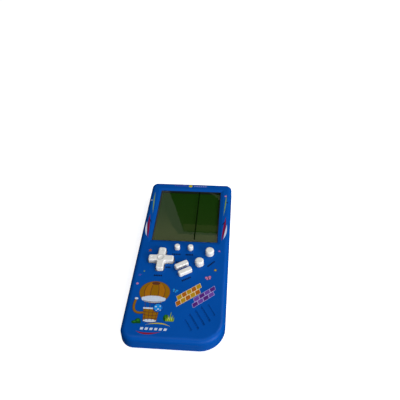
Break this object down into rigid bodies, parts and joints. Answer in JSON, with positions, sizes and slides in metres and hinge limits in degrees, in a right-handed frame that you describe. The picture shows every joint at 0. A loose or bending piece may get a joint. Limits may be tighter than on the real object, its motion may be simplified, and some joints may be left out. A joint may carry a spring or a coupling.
{
  "type": "handheld lcd game",
  "caption": "Flat handheld game with a large reflective LCD above a rocking cross pad and push keys, a slotted sounder grille and a sliding cell door.",
  "frame": {"origin": "middle of the case in plan, on the plane of its flat back", "axes": "+Z out of the front face, +Y towards the screen end, +X to the player's right"},
  "size_m": [0.08, 0.178, 0.0228],
  "materials": {
    "body_blue": "satin",
    "door_blue": "satin",
    "bezel_black": "satin",
    "lens_clear": "clear, gloss",
    "polariser_film": "olive film, satin",
    "display_glass": "clear, gloss",
    "reflector_foil": "brushed foil",
    "frame_white": "moulded",
    "connector_rubber": "layered",
    "board_laminate": "solder mask",
    "contact_carbon": "printed carbon",
    "epoxy_black": "cured drop",
    "component_ceramic": "fired",
    "capacitor_sleeve": "shrink sleeve",
    "membrane_silicone": "matt",
    "key_white": "satin",
    "pivot_nylon": "moulded",
    "sounder_brass": "rolled",
    "cell_wrap": "printed film",
    "contact_steel": "nickel plated",
    "screw_steel": "zinc plated"
  },
  "bodies": {
    "case": {"front_shell": "body_blue", "rear_shell": "body_blue", "screen_bezel": "bezel_black", "screen_window": "lens_clear", "lcd_polariser": "polariser_film", "lcd_front_glass": "display_glass", "lcd_rear_glass": "display_glass", "lcd_reflector": "reflector_foil", "lcd_frame": "frame_white", "lcd_connector": "connector_rubber", "main_board": "board_laminate", "board_contacts": "contact_carbon", "controller_blob": "epoxy_black", "smd_parts": "component_ceramic", "electrolytic_capacitor": "capacitor_sleeve", "pad_membrane": "membrane_silicone", "key_membrane": "membrane_silicone", "carbon_pills": "contact_carbon", "pad_pivot_seat": "pivot_nylon", "sounder_disc": "sounder_brass", "sounder_ceramic": "component_ceramic", "battery_cell_left": "cell_wrap", "battery_cell_right": "cell_wrap", "battery_springs": "contact_steel", "battery_link": "contact_steel", "battery_terminals": "contact_steel", "case_screws": "screw_steel", "lcd_frame_screws": "screw_steel", "board_screws": "screw_steel"},
    "on_off": {"on_off_key": "key_white"},
    "reset": {"reset_key": "key_white"},
    "turn_upper": {"turn_key_upper": "key_white"},
    "turn_lower": {"turn_key_lower": "key_white"},
    "start": {"start_key": "key_white"},
    "sound": {"sound_key": "key_white"},
    "pad_pivot": {"pad_pivot_ball": "pivot_nylon"},
    "pad": {"cross_pad": "key_white"},
    "door": {"battery_door": "door_blue"}
  },
  "joints": [
    {"name": "on_off_press", "type": "slide", "parent": "case", "child": "on_off", "axis": [0, 0, -1], "range_m": [0, 0.0008], "stiffness_N_per_m": 1250, "deforming": ["key_membrane"]},
    {"name": "reset_press", "type": "slide", "parent": "case", "child": "reset", "axis": [0, 0, -1], "range_m": [0, 0.0008], "stiffness_N_per_m": 1250, "deforming": ["key_membrane"]},
    {"name": "turn_upper_press", "type": "slide", "parent": "case", "child": "turn_upper", "axis": [0, 0, -1], "range_m": [0, 0.0008], "stiffness_N_per_m": 1250, "deforming": ["key_membrane"]},
    {"name": "turn_lower_press", "type": "slide", "parent": "case", "child": "turn_lower", "axis": [0, 0, -1], "range_m": [0, 0.0008], "stiffness_N_per_m": 1250, "deforming": ["key_membrane"]},
    {"name": "start_press", "type": "slide", "parent": "case", "child": "start", "axis": [0, 0, -1], "range_m": [0, 0.0008], "stiffness_N_per_m": 1250, "deforming": ["key_membrane"]},
    {"name": "sound_press", "type": "slide", "parent": "case", "child": "sound", "axis": [0, 0, -1], "range_m": [0, 0.0008], "stiffness_N_per_m": 1250, "deforming": ["key_membrane"]},
    {"name": "pad_tilt_x", "type": "hinge", "parent": "case", "child": "pad_pivot", "pos_m": [-0.0174, -0.0121, 0.0126], "axis": [1, 0, 0], "range_deg": [-5, 5], "stiffness_Nm_per_rad": 0.09, "deforming": ["pad_membrane"]},
    {"name": "pad_tilt_y", "type": "hinge", "parent": "pad_pivot", "child": "pad", "pos_m": [-0.0174, -0.0121, 0.0126], "axis": [0, 1, 0], "range_deg": [-5, 5], "stiffness_Nm_per_rad": 0.09, "deforming": ["pad_membrane"]},
    {"name": "door_slide", "type": "slide", "parent": "case", "child": "door", "axis": [0, -1, 0], "range_m": [0, 0.046]}
  ]
}
